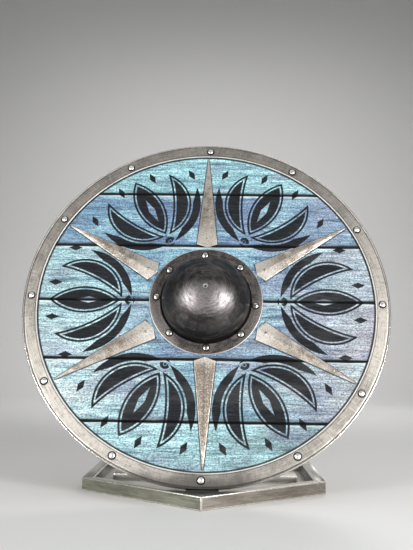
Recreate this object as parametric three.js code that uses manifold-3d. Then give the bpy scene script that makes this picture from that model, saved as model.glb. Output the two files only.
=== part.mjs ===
// A wooden round shield standing on its welded steel display stand.
//
// Millimetres, +Z up. The origin is on the surface that the stand rests on, in the middle of the
// stand's hexagonal frame. The shield's painted front faces -Y and leans back.
//
// The shield's own pieces are made in the board frame, a group that is tilted as a whole:
// X to the right, Z up along the board, Y from the front of the board (0) towards its back.

import * as THREE from "three";
import { mergeVertices } from "three/addons/utils/BufferGeometryUtils.js";
import Module from "manifold-3d";

const wasm = await Module();
wasm.setup();

// ---- Driving dimensions ----

const touchGap = 0.3; // left between pieces that touch

const shieldRadius = 305; // a 24 inch shield
const shieldLean = THREE.MathUtils.degToRad(18);
const shieldCentreHeight = 312;
const shieldCentreY = -136;

const rimSheet = 1.5;
const rimBandWidth = 24.5;
const rimEdgeRadius = 4;
const rimRivetCircle = 291.5;
const rimFacets = 72;

const plankThickness = 9;
const plankWidth = 101.6; // 4 inch boards
const plankGap = 1.2;
const plankChamfer = 1.6;
const plankCount = 6;
const handHoleRadius = 68;

const bossSheet = 1.8;
const bossFlangeRadius = 94.5;
const bossDomeRadius = 73.5;
const bossDomeHeight = 61;
const bossRivetCircle = 82.5;
const bossFacets = 36;

const spikeCount = 6;
const spikeTipRadius = 274.5;
const spikeBaseRadius = 98;
const spikeBaseWidth = 35.5;
const spikeTipWidth = 1.6;
const spikeEdgeThickness = 1.3;
const spikeRidgeThickness = 3;
const spikeNailCircles = { inner: 113, outer: 237 };

const rivetHeadRadius = 5.6;
const rivetHeadHeight = 2.7;
const rivetShankRadius = 2.2;
const rivetTailRadius = 3.8;
const rivetTailHeight = 1.4;
const rivetFacets = 8;
const nailHeadRadius = 2.7;
const nailHeadHeight = 1.1;
const nailShankRadius = 1.1;
const nailDepthInWood = 8;
const nailFacets = 6;

const gripLength = 500;
const gripEndWidth = 20;
const gripShoulderWidth = 30;
const gripHandWidth = 27;
const gripBarDepth = 12;
const gripHandDepth = 21;
const gripShoulderReach = 98;
const gripHandReach = 68;

const barSide = 20; // square tube of the stand
const barWall = 1.5;
const frameHalfWidth = 200;
const frameCornerRise = 150; // from a side corner to the level of the front or back corner
const frameSideLength = 250;

const footPlate = { length: 324, width: 60, thickness: 12 };
const spineWidth = 40;
const spineThickness = 6;
const seatWidth = 50;
const seatBackHeight = 8; // how far the seat's back wall rises behind the rim
const seatWall = 9;
const gripRest = { lowEnd: 105, length: 60, thickness: 4, earHeight: 9, earThickness: 3 };

// The rivets were set by eye, so each circle is a little uneven: the turn of each rivet from an
// even spacing, in degrees clockwise, starting at the top.
const rimRivetTurns = [0.6, 1, 2.4, 0.7, 2, 0.4, 0.4, -1.7, 0.9, 1.1, 0.9, 1.4];
const bossRivetTurns = [-2, -1.5, 6.1, 0.4, -1.1, 0.4, 3.5, -4.1];

// ---- Levels through the board, along its own Y ----

const plankFront = rimSheet + touchGap;
const plankBack = plankFront + plankThickness;
const rimBack = plankBack + touchGap + rimSheet;
const plankRadius = shieldRadius - rimEdgeRadius - touchGap;
const onPlanks = plankFront - touchGap; // back face of whatever lies on the planks' front
const gripFront = plankBack + touchGap;
const gripBarBack = gripFront + gripBarDepth;

// ---- Materials ----

function material(color, roughness, metalness) {
  return new THREE.MeshStandardMaterial({ color, roughness, metalness });
}

const paintedWood = material(0x5f87a3, 0.5, 0);
const bareWood = material(0x6a4a30, 0.6, 0);
const rimSteel = material(0x6f6a68, 0.4, 1);
const darkSteel = material(0x4a4745, 0.4, 1);
const brightSteel = material(0xb9b6b0, 0.3, 1);
const spikeSteel = material(0xa39a92, 0.5, 1);
const standSteel = material(0x85837d, 0.4, 1);
const blackRubber = material(0x151515, 0.8, 0);

// ---- Building blocks ----

// A closed geometry as a solid that can be cut and joined.
function solid(geometry) {
  const bare = geometry.clone();
  bare.deleteAttribute("normal");
  bare.deleteAttribute("uv");
  const merged = mergeVertices(bare, 1e-3);
  return new wasm.Manifold(
    new wasm.Mesh({
      numProp: 3,
      vertProperties: new Float32Array(merged.attributes.position.array),
      triVerts: new Uint32Array(merged.index.array),
    }),
  );
}

// The geometry of a solid, back in three.js.
function geometryOf(body) {
  const cut = body.getMesh();
  const geometry = new THREE.BufferGeometry();
  geometry.setAttribute("position", new THREE.BufferAttribute(cut.vertProperties, 3));
  geometry.setIndex(new THREE.BufferAttribute(cut.triVerts, 1));
  geometry.computeVertexNormals();
  return geometry;
}

function addPiece(group, name, geometry, pieceMaterial) {
  const mesh = new THREE.Mesh(geometry, pieceMaterial);
  mesh.name = name;
  group.add(mesh);
  return mesh;
}

function cutAll(body, cutters) {
  return cutters.reduce((left, cutter) => left.subtract(cutter), body);
}

// A cylinder that runs through the board from one depth to another.
function pinThroughBoard(radius, facets, x, z, fromDepth, toDepth) {
  const pin = new THREE.CylinderGeometry(radius, radius, toDepth - fromDepth, facets);
  pin.translate(x, (fromDepth + toDepth) / 2, z);
  return solid(pin);
}

// A closed body through rings of equally many points, each ring one station along its length.
function loft(rings) {
  const perRing = rings[0].length;
  const positions = rings.flat().flatMap((point) => [point.x, point.y, point.z]);
  const faces = [];
  for (let ring = 0; ring + 1 < rings.length; ring += 1) {
    for (let side = 0; side < perRing; side += 1) {
      const here = ring * perRing + side;
      const next = ring * perRing + ((side + 1) % perRing);
      faces.push(here, next, here + perRing);
      faces.push(next, next + perRing, here + perRing);
    }
  }
  const last = (rings.length - 1) * perRing;
  for (let side = 1; side + 1 < perRing; side += 1) {
    faces.push(0, side + 1, side);
    faces.push(last, last + side, last + side + 1);
  }
  const geometry = new THREE.BufferGeometry();
  geometry.setAttribute("position", new THREE.Float32BufferAttribute(positions, 3));
  geometry.setIndex(faces);
  return geometry;
}

// A flat outline in the X-Z plane, given thickness along Y.
function plate(outline, front, back) {
  const geometry = new THREE.ExtrudeGeometry(new THREE.Shape(outline), {
    depth: back - front,
    bevelEnabled: false,
  });
  geometry.rotateX(Math.PI / 2);
  geometry.translate(0, back, 0);
  return geometry;
}

// A Y-Z section, made as long as asked along X.
function barAlongX(section, length) {
  const geometry = new THREE.ExtrudeGeometry(new THREE.Shape(section), {
    depth: length,
    bevelEnabled: false,
  });
  geometry.applyMatrix4(
    new THREE.Matrix4().makeBasis(
      new THREE.Vector3(0, 1, 0),
      new THREE.Vector3(0, 0, 1),
      new THREE.Vector3(1, 0, 0),
    ),
  );
  geometry.translate(-length / 2, 0, 0);
  return geometry;
}

// A point on a circle of the board, at an angle clockwise from the top.
function onCircle(radius, degrees) {
  const angle = THREE.MathUtils.degToRad(degrees);
  return new THREE.Vector2(radius * Math.sin(angle), radius * Math.cos(angle));
}

// ---- Rivets and nails ----

function evenlySet(circle, turns) {
  return turns.map((turn, index) => onCircle(circle, (index * 360) / turns.length + turn));
}

const rimRivetPlaces = evenlySet(rimRivetCircle, rimRivetTurns);
const bossRivetPlaces = evenlySet(bossRivetCircle, bossRivetTurns);
const spikeAngles = Array.from({ length: spikeCount }, (_, index) => (index * 360) / spikeCount);

function nailPlaces(circle) {
  return spikeAngles.map((angle) => onCircle(circle, angle));
}

// A domed rivet whose shank goes through the board to a flattened tail.
function rivet(front, back) {
  const underHead = front - touchGap;
  const tail = back + touchGap;
  const profile = [
    [0, tail + rivetTailHeight],
    [rivetTailRadius, tail],
    [rivetShankRadius, tail],
    [rivetShankRadius, underHead],
    [rivetHeadRadius, underHead],
    [rivetHeadRadius * 0.68, underHead - rivetHeadHeight * 0.74],
    [0, underHead - rivetHeadHeight],
  ];
  return lathe(profile, rivetFacets);
}

function lathe(profile, facets) {
  const points = profile.map(([radius, along]) => new THREE.Vector2(radius, along));
  return new THREE.LatheGeometry(points.reverse(), facets);
}

function rivetHole([x, z], front, back) {
  const slack = 2;
  return pinThroughBoard(rivetShankRadius + touchGap, rivetFacets, x, z, front - slack, back + slack);
}

function rivetHoles(places, front, back) {
  return places.map((place) => rivetHole(place.toArray(), front, back));
}

const nailHead = onPlanks - spikeRidgeThickness - touchGap;
const nailPoint = plankFront + nailDepthInWood;

function nail() {
  return lathe(
    [
      [0, nailPoint],
      [nailShankRadius, nailPoint - 2],
      [nailShankRadius, nailHead],
      [nailHeadRadius, nailHead],
      [nailHeadRadius * 0.5, nailHead - nailHeadHeight],
      [0, nailHead - nailHeadHeight],
    ],
    nailFacets,
  );
}

function nailHoles(places, front) {
  const radius = nailShankRadius + touchGap;
  return places.map(({ x, y }) => pinThroughBoard(radius, nailFacets, x, y, front, nailPoint + touchGap));
}

const allNailPlaces = Object.values(spikeNailCircles).flatMap(nailPlaces);

// ---- The painted planks ----

// One board of the shield: chamfered along both seams in front, square behind.
function plank(index) {
  const top = (plankCount / 2 - index) * plankWidth - plankGap / 2;
  const bottom = top - plankWidth + plankGap;
  const section = [
    [plankBack, bottom],
    [plankBack, top],
    [plankFront + plankChamfer, top],
    [plankFront, top - plankChamfer],
    [plankFront, bottom + plankChamfer],
    [plankFront + plankChamfer, bottom],
  ].map(([y, z]) => new THREE.Vector2(y, z));
  const board = solid(barAlongX(section, 2 * shieldRadius));
  const disc = solid(new THREE.CylinderGeometry(plankRadius, plankRadius, 4 * plankThickness, rimFacets));
  const near = ({ y }) => y > bottom - rivetHeadRadius && y < top + rivetHeadRadius;
  const handHole = pinThroughBoard(handHoleRadius, bossFacets, 0, 0, 0, rimBack);
  const cutters = [
    handHole,
    ...rivetHoles(rimRivetPlaces.filter(near), plankFront, plankBack),
    ...rivetHoles(bossRivetPlaces.filter(near), plankFront, plankBack),
    ...nailHoles(allNailPlaces.filter(near), plankFront - 1),
  ];
  return geometryOf(cutAll(board.intersect(disc), cutters));
}

// ---- The steel rim, a U section rolled round the boards ----

function rim() {
  const inner = shieldRadius - rimBandWidth;
  const corner = shieldRadius - rimEdgeRadius;
  const rolled = rimEdgeRadius * Math.SQRT1_2;
  const profile = [
    [inner, 0],
    [corner, 0],
    [corner + rolled, rimEdgeRadius - rolled],
    [shieldRadius, rimEdgeRadius],
    [shieldRadius, rimBack - rimEdgeRadius],
    [corner + rolled, rimBack - rimEdgeRadius + rolled],
    [corner, rimBack],
    [inner, rimBack],
    [inner, rimBack - rimSheet],
    [corner, rimBack - rimSheet],
    [shieldRadius - rimSheet, rimBack - rimEdgeRadius],
    [shieldRadius - rimSheet, rimEdgeRadius],
    [corner, rimSheet],
    [inner, rimSheet],
    [inner, 0],
  ];
  const band = solid(lathe(profile.reverse(), rimFacets));
  return geometryOf(cutAll(band, rivetHoles(rimRivetPlaces, 0, rimBack)));
}

// ---- The boss, a hollow dome of sheet steel with a flat flange ----

function domeProfile(radius, height, foot, steps) {
  const points = [];
  for (let step = 0; step <= steps; step += 1) {
    const angle = (step / steps) * (Math.PI / 2);
    points.push([radius * Math.cos(angle) ** 0.94, foot - height * Math.sin(angle)]);
  }
  points[steps][0] = 0;
  return points;
}

function boss() {
  const flangeBack = onPlanks;
  const flangeFront = flangeBack - bossSheet;
  const outer = domeProfile(bossDomeRadius, bossDomeHeight - 1.2, flangeFront - 1.2, 9);
  const inner = domeProfile(bossDomeRadius - bossSheet, bossDomeHeight - bossSheet, flangeBack - 1.8, 7);
  const profile = [
    ...inner.slice().reverse(),
    [bossDomeRadius - bossSheet + 0.6, flangeBack],
    [bossFlangeRadius, flangeBack],
    [bossFlangeRadius, flangeFront],
    [bossDomeRadius + 2.2, flangeFront],
    [bossDomeRadius + 1.4, flangeFront - 0.9],
    ...outer,
  ];
  const shell = solid(lathe(profile, bossFacets));
  return geometryOf(cutAll(shell, rivetHoles(bossRivetPlaces, 0, 0)));
}

// ---- The six spikes, long flat triangles raised to a low ridge ----

function spike(angle) {
  const stations = 6;
  const rings = [];
  for (let station = 0; station <= stations; station += 1) {
    const along = station / stations;
    const middle = THREE.MathUtils.lerp(spikeBaseRadius, spikeTipRadius, along);
    const half = THREE.MathUtils.lerp(spikeBaseWidth, spikeTipWidth, along) / 2;
    // The base end is rounded towards the boss, and the rounding dies out along the spike.
    const shoulder = middle + (along < 1 ? 6.5 * (1 - along) ** 8 : 0);
    const ridge = onPlanks - THREE.MathUtils.lerp(spikeRidgeThickness, spikeEdgeThickness + 0.3, along ** 2);
    const edge = onPlanks - spikeEdgeThickness;
    rings.push([
      new THREE.Vector3(-half, onPlanks, shoulder),
      new THREE.Vector3(-half, edge, shoulder),
      new THREE.Vector3(0, ridge, middle),
      new THREE.Vector3(half, edge, shoulder),
      new THREE.Vector3(half, onPlanks, shoulder),
      new THREE.Vector3(0, onPlanks, middle),
    ]);
  }
  const blade = solid(loft(rings));
  const nails = Object.values(spikeNailCircles).map((circle) =>
    pinThroughBoard(nailShankRadius + touchGap, nailFacets, 0, circle, nailHead - 2, onPlanks + 2),
  );
  const geometry = geometryOf(cutAll(blade, nails));
  geometry.rotateY(THREE.MathUtils.degToRad(angle));
  return geometry;
}

// ---- The wooden grip, a bar behind the boards that swells where the hand holds it ----

// Width and depth of the grip at a distance from the middle.
function gripSection(distance) {
  const shoulder = THREE.MathUtils.smoothstep(distance, gripHandReach * 0.45, gripHandReach);
  const taper = THREE.MathUtils.clamp((distance - gripShoulderReach) / (gripLength / 2 - gripShoulderReach), 0, 1);
  const width = THREE.MathUtils.lerp(
    THREE.MathUtils.lerp(gripHandWidth, gripShoulderWidth, shoulder),
    gripEndWidth,
    taper,
  );
  const depth = THREE.MathUtils.lerp(gripHandDepth, gripBarDepth, shoulder);
  return { width, depth };
}

function grip() {
  const distances = [gripLength / 2, gripShoulderReach, gripHandReach, gripHandReach * 0.72, gripHandReach * 0.4];
  const stations = [...distances.map((distance) => -distance), 0, ...distances.slice().reverse()];
  const rings = stations.map((z) => {
    const { width, depth } = gripSection(Math.abs(z));
    const half = width / 2;
    const round = depth * 0.3;
    const back = gripFront + depth;
    return [
      new THREE.Vector3(-half, gripFront, z),
      new THREE.Vector3(half, gripFront, z),
      new THREE.Vector3(half, back - round, z),
      new THREE.Vector3(half - round, back, z),
      new THREE.Vector3(-half + round, back, z),
      new THREE.Vector3(-half, back - round, z),
    ];
  });
  const bar = solid(loft(rings));
  const places = bossRivetPlaces.filter(({ x }) => Math.abs(x) < gripHandWidth / 2);
  return geometryOf(cutAll(bar, rivetHoles(places, gripFront, gripBarBack)));
}

// ---- The shield ----

function buildShield() {
  const shield = new THREE.Group();
  shield.rotation.x = -shieldLean;
  shield.position.set(0, shieldCentreY, shieldCentreHeight);

  for (let index = 0; index < plankCount; index += 1) {
    addPiece(shield, `plank_${index + 1}`, plank(index), paintedWood);
  }
  addPiece(shield, "rim", rim(), rimSteel);
  addPiece(shield, "boss", boss(), darkSteel);
  addPiece(shield, "grip", grip(), bareWood);

  rimRivetPlaces.forEach(({ x, y }, index) => {
    const name = `rim_rivet_${String(index + 1).padStart(2, "0")}`;
    const piece = addPiece(shield, name, rivet(0, rimBack), brightSteel);
    piece.position.set(x, 0, y);
  });
  bossRivetPlaces.forEach(({ x, y }, index) => {
    const throughGrip = Math.abs(x) < gripHandWidth / 2;
    const back = throughGrip ? gripBarBack : plankBack;
    const piece = addPiece(shield, `boss_rivet_${index + 1}`, rivet(onPlanks - bossSheet, back), brightSteel);
    piece.position.set(x, 0, y);
  });
  spikeAngles.forEach((angle, index) => {
    addPiece(shield, `spike_${index + 1}`, spike(angle), spikeSteel);
  });
  for (const [side, circle] of Object.entries(spikeNailCircles)) {
    nailPlaces(circle).forEach(({ x, y }, index) => {
      const piece = addPiece(shield, `spike_nail_${side}_${index + 1}`, nail(), brightSteel);
      piece.position.set(x, 0, y);
    });
  }
  return shield;
}

// ---- The stand ----

// A square tube along a line, cut at each end by a plane.
function squareTube(start, end, startPlane, endPlane, sideways) {
  const along = end.clone().sub(start).normalize();
  const across = sideways.clone().cross(along).normalize();
  const square = (half) => [
    [-half, -half],
    [half, -half],
    [half, half],
    [-half, half],
  ];
  const corners = [...square(barSide / 2), ...square(barSide / 2 - barWall)];
  const ringAt = (plane) =>
    corners.map(([u, v]) => {
      const from = start.clone().addScaledVector(sideways, u).addScaledVector(across, v);
      const travel = -plane.distanceToPoint(from) / plane.normal.dot(along);
      return from.addScaledVector(along, travel);
    });
  const points = [...ringAt(startPlane), ...ringAt(endPlane)];
  const faces = [];
  for (let side = 0; side < 4; side += 1) {
    const next = (side + 1) % 4;
    const quads = [
      [side, next, next + 8, side + 8], // outer wall
      [next + 4, side + 4, side + 12, next + 12], // inner wall
      [next, side, side + 4, next + 4], // start end
      [side + 8, next + 8, next + 12, side + 12], // far end
    ];
    quads.forEach(([a, b, c, d]) => faces.push(a, c, b, a, d, c));
  }
  const geometry = new THREE.BufferGeometry();
  geometry.setFromPoints(points);
  geometry.setIndex(faces);
  return geometry;
}

const frameDepth = frameSideLength + 2 * frameCornerRise;
const frameCorners = [
  [0, -frameDepth / 2],
  [frameHalfWidth, -frameSideLength / 2],
  [frameHalfWidth, frameSideLength / 2],
  [0, frameDepth / 2],
  [-frameHalfWidth, frameSideLength / 2],
  [-frameHalfWidth, -frameSideLength / 2],
].map(([x, y]) => new THREE.Vector3(x, y, 0));
const frameBarNames = ["front_right", "side_right", "back_right", "back_left", "side_left", "front_left"];

// The upright plane that halves a corner of the frame, moved back by half the gap of the mitre.
function mitrePlane(before, corner, after, keepTowards) {
  const inward = before.clone().sub(corner).normalize().add(after.clone().sub(corner).normalize());
  const normal = new THREE.Vector3(-inward.y, inward.x, 0).normalize();
  if (normal.dot(keepTowards.clone().sub(corner)) < 0) {
    normal.negate();
  }
  const point = corner.clone().addScaledVector(normal, touchGap / 2);
  return new THREE.Plane().setFromNormalAndCoplanarPoint(normal, point);
}

function frameBar(index) {
  const corner = (offset) => frameCorners[(index + offset + frameCorners.length) % frameCorners.length];
  const [before, start, end, after] = [corner(-1), corner(0), corner(1), corner(2)];
  const up = new THREE.Vector3(0, 0, 1);
  const inward = up.clone().cross(end.clone().sub(start)).normalize();
  const toMiddle = inward.clone().multiplyScalar(barSide / 2).addScaledVector(up, barSide / 2);
  return squareTube(
    start.clone().add(toMiddle),
    end.clone().add(toMiddle),
    mitrePlane(before, start, end, end),
    mitrePlane(start, end, after, start),
    inward,
  );
}

// A flat bar on the ground from the foot plate to a corner of the frame, pointed to fit the corner.
function spine(direction) {
  const cornerInside = frameDepth / 2 - (barSide * 250) / frameHalfWidth;
  const slope = frameCornerRise / frameHalfWidth;
  const half = spineWidth / 2;
  const clear = touchGap * 1.25;
  const outline = [
    [-half, footPlate.width / 2 + touchGap],
    [half, footPlate.width / 2 + touchGap],
    [half, cornerInside - half * slope - clear],
    [0, cornerInside - clear],
    [-half, cornerInside - half * slope - clear],
  ].map(([x, y]) => new THREE.Vector2(x, y));
  const geometry = new THREE.ExtrudeGeometry(new THREE.Shape(outline), {
    depth: spineThickness,
    bevelEnabled: false,
  });
  if (direction < 0) {
    geometry.rotateZ(Math.PI);
  }
  return geometry;
}

// A point of the board frame, placed in the part's frame.
function fromBoard(x, y, z) {
  const point = new THREE.Vector3(x, y, z).applyAxisAngle(new THREE.Vector3(1, 0, 0), -shieldLean);
  return point.add(new THREE.Vector3(0, shieldCentreY, shieldCentreHeight));
}

// The rubber block on the front spine that takes the foot of the rim: its top is square to the
// board, and it rises behind the rim.
function rimSeat() {
  const bottom = spineThickness + touchGap;
  const seatLevel = -shieldRadius - touchGap;
  const front = fromBoard(0, 1, seatLevel);
  const heel = fromBoard(0, rimBack + touchGap, seatLevel);
  const wallTop = fromBoard(0, rimBack + touchGap, seatLevel + seatBackHeight);
  const section = [
    [front.y, bottom],
    [wallTop.y + seatWall, bottom],
    [wallTop.y + seatWall, wallTop.z],
    [wallTop.y, wallTop.z],
    [heel.y, heel.z],
    [front.y, front.z],
  ].map(([y, z]) => new THREE.Vector2(y, z));
  return barAlongX(section, seatWidth);
}

// The steel channel at the top of the prop, in which the grip rests. Made in the board frame.
function gripRestChannel() {
  const back = gripBarBack + touchGap;
  const { width } = gripSection(gripRest.lowEnd);
  const inside = width / 2 + 1;
  const outside = inside + gripRest.earThickness;
  const outline = [
    [-outside, back + gripRest.thickness],
    [-outside, back - gripRest.earHeight],
    [-inside, back - gripRest.earHeight],
    [-inside, back],
    [inside, back],
    [inside, back - gripRest.earHeight],
    [outside, back - gripRest.earHeight],
    [outside, back + gripRest.thickness],
  ].map(([x, y]) => new THREE.Vector2(x, y));
  const geometry = new THREE.ExtrudeGeometry(new THREE.Shape(outline), {
    depth: gripRest.length,
    bevelEnabled: false,
  });
  geometry.translate(0, 0, gripRest.lowEnd);
  geometry.rotateX(-shieldLean);
  geometry.translate(0, shieldCentreY, shieldCentreHeight);
  return geometry;
}

// The square tube that rises from the foot plate to the back of the grip rest.
function prop() {
  const restBack = gripBarBack + gripRest.thickness + 2 * touchGap;
  const top = fromBoard(0, restBack, gripRest.lowEnd + gripRest.length / 2);
  const foot = new THREE.Vector3(0, 0, footPlate.thickness + touchGap);
  const footPlane = new THREE.Plane().setFromNormalAndCoplanarPoint(new THREE.Vector3(0, 0, 1), foot);
  const boardNormal = new THREE.Vector3(0, 1, 0).applyAxisAngle(new THREE.Vector3(1, 0, 0), -shieldLean);
  const topPlane = new THREE.Plane().setFromNormalAndCoplanarPoint(boardNormal, top);
  return squareTube(foot, top, footPlane, topPlane, new THREE.Vector3(1, 0, 0));
}

function buildStand() {
  const stand = new THREE.Group();
  frameBarNames.forEach((name, index) => {
    addPiece(stand, `base_bar_${name}`, frameBar(index), standSteel);
  });
  const foot = new THREE.BoxGeometry(footPlate.length, footPlate.width, footPlate.thickness);
  foot.translate(0, 0, footPlate.thickness / 2);
  addPiece(stand, "foot_plate", foot, standSteel);
  addPiece(stand, "spine_front", spine(-1), standSteel);
  addPiece(stand, "spine_back", spine(1), standSteel);
  addPiece(stand, "rim_seat", rimSeat(), blackRubber);
  addPiece(stand, "prop", prop(), standSteel);
  addPiece(stand, "grip_rest", gripRestChannel(), standSteel);
  return stand;
}

const group = new THREE.Group();
group.add(buildShield());
group.add(buildStand());

export default group;
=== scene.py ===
"""The looks of a wooden round shield on its steel stand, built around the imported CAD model."""

import math

import bmesh
import bpy
from bpy.props import FloatProperty, FloatVectorProperty, PointerProperty
from mathutils import Euler, Matrix, Vector, noise


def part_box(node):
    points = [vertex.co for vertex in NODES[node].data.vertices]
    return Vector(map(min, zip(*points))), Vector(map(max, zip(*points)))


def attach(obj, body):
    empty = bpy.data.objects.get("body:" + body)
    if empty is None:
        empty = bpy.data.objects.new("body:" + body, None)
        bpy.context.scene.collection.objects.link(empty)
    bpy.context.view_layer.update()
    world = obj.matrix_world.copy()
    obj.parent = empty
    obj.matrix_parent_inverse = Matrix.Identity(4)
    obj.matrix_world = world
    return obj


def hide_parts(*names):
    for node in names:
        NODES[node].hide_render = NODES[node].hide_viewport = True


bl_info = {
    "name": "Round shield",
    "version": (1, 0, 0),
    "blender": (4, 5, 0),
    "location": "View3D > Sidebar > Shield",
    "description": "Dresses a round plank shield and its steel stand",
    "category": "Object",
}

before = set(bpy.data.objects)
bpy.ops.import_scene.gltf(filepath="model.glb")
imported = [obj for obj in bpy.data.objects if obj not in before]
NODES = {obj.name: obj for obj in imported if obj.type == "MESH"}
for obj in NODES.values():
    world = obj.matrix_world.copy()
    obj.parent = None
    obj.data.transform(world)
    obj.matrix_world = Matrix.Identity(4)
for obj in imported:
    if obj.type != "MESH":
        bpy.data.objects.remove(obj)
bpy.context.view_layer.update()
MM = 0.001


# ---- The board's own frame: X right, Z up along the board, Y from its front to its back ----


def largest_face_normal(node):
    faces = NODES[node].data.polygons
    return max(faces, key=lambda face: face.area).normal.copy()


def find_board():
    """The matrix that places the board's own frame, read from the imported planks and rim."""
    normal = largest_face_normal("plank_2")
    if normal.y < 0:
        normal.negate()
    tilt = Matrix.Rotation(math.atan2(normal.z, normal.y), 4, "X")
    low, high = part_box("rim")
    middle = tilt.inverted() @ ((low + high) / 2)
    middle.y = min((tilt.inverted() @ vertex.co).y for vertex in NODES["rim"].data.vertices)
    return Matrix.Translation(tilt @ middle) @ tilt


BOARD = find_board()
TO_BOARD = BOARD.inverted()


def board_box(node):
    """The lowest and highest corners of a node in the board's own frame."""
    points = [TO_BOARD @ vertex.co for vertex in NODES[node].data.vertices]
    low = Vector([min(point[axis] for point in points) for axis in range(3)])
    high = Vector([max(point[axis] for point in points) for axis in range(3)])
    return low, high


def board_place(node):
    low, high = board_box(node)
    return (low + high) / 2


def nodes_named(start):
    return sorted(name for name in NODES if name.startswith(start))


RIM_HIGH = board_box("rim")[1]
BOSS_LOW, BOSS_HIGH = board_box("boss")
RIM_RADIUS = RIM_HIGH.x
RIM_BACK = RIM_HIGH.y
BOSS_RADIUS = BOSS_HIGH.x

# The outline of the upright spike in millimetres: where it starts and ends, and its half widths there.
SPIKE_LOW, SPIKE_HIGH = board_box("spike_1")
SPIKE_START = SPIKE_LOW.z / MM + 5
SPIKE_END = SPIKE_HIGH.z / MM
SPIKE_BASE = SPIKE_HIGH.x / MM
SPIKE_TIP = 0.8


# ---- Sizes and colours that a user would change ----


def length(name, description, default):
    return FloatProperty(name=name, description=description, default=default, min=0, unit="LENGTH")


def power(name, description, default):
    return FloatProperty(name=name, description=description, default=default, min=0, unit="POWER")


def colour(name, description, default):
    return FloatVectorProperty(
        name=name, description=description, default=default, size=3, min=0, max=1, subtype="COLOR"
    )


class ShieldSizes(bpy.types.PropertyGroup):
    grain_depth: length("Grain depth", "How deep the brushed grain lies in the planks", 0.35 * MM)
    rim_band: length("Rim band", "Width of the rim's flat band", 24.5 * MM)
    rim_bead: length("Rim bead", "Radius of the roll along the rim's outer edge", 1.5 * MM)
    boss_dome: length("Dome radius", "Radius of the boss dome at its foot", 73.5 * MM)
    sheet: length("Sheet", "Thickness of the rim's and the boss's steel", 1.6 * MM)
    tube_corner: length("Tube corner", "Radius of the corners of the stand's tubes", 1.9 * MM)


class ShieldColours(bpy.types.PropertyGroup):
    stain_light: colour("Light stain", "Light cyan streaks of the planks", (0.34, 0.55, 0.58))
    stain_pale: colour("Pale stain", "Worn specks and edges of the planks", (0.66, 0.78, 0.8))
    stain_dusk: colour("Dusk stain", "Lavender grey clouds of the planks", (0.2, 0.23, 0.31))
    stain_lift: FloatVectorProperty(
        name="Streak lift",
        description="How much pale streaks brighten the stain",
        default=(1.5, 1.48, 1.46),
        size=3,
    )
    stain_sink: colour("Streak sink", "What dark streaks leave of the stain", (0.28, 0.37, 0.45))
    # Painted shadow: the colour that darkens each plank just above the seam below it.
    seam_shadow: colour("Dark stain", "Darkest streaks of the planks", (0.03, 0.065, 0.11))
    ornament: colour("Ornament", "Black paint of the ornament", (0.008, 0.009, 0.012))
    bare_wood: colour("Bare wood", "Oiled wood of the back and grip", (0.16, 0.085, 0.042))
    rim_steel: colour("Rim steel", "Steel of the rim", (0.43, 0.4, 0.36))
    boss_steel: colour("Boss steel", "Gunmetal steel of the boss", (0.13, 0.119, 0.118))
    spike_steel: colour("Spike steel", "Warm grey steel of the spikes", (0.51, 0.46, 0.4))
    stand_steel: colour("Stand steel", "Lacquered steel of the stand", (0.42, 0.405, 0.37))
    rivet_steel: colour("Rivet steel", "Bright steel of the rim's rivets", (0.92, 0.9, 0.86))
    floor: colour("Floor", "Plain pale floor and backdrop", (0.8, 0.79, 0.77))


class StudioSettings(bpy.types.PropertyGroup):
    side_power: power("Side lights", "Power of the side softboxes", 9.8)
    top_power: power("Top light", "Power of the overhead softbox", 7)
    backdrop_power: power("Backdrop light", "Power of the backdrop softbox", 13)
    rear_power: power("Rear light", "Power of the softbox behind", 9)
    lens: FloatProperty(name="Lens", description="Focal length", default=48.2, min=1, unit="CAMERA")


def sizes():
    return bpy.context.scene.shield_sizes


def colours():
    return bpy.context.scene.shield_colours


# ---- Material building ----


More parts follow.
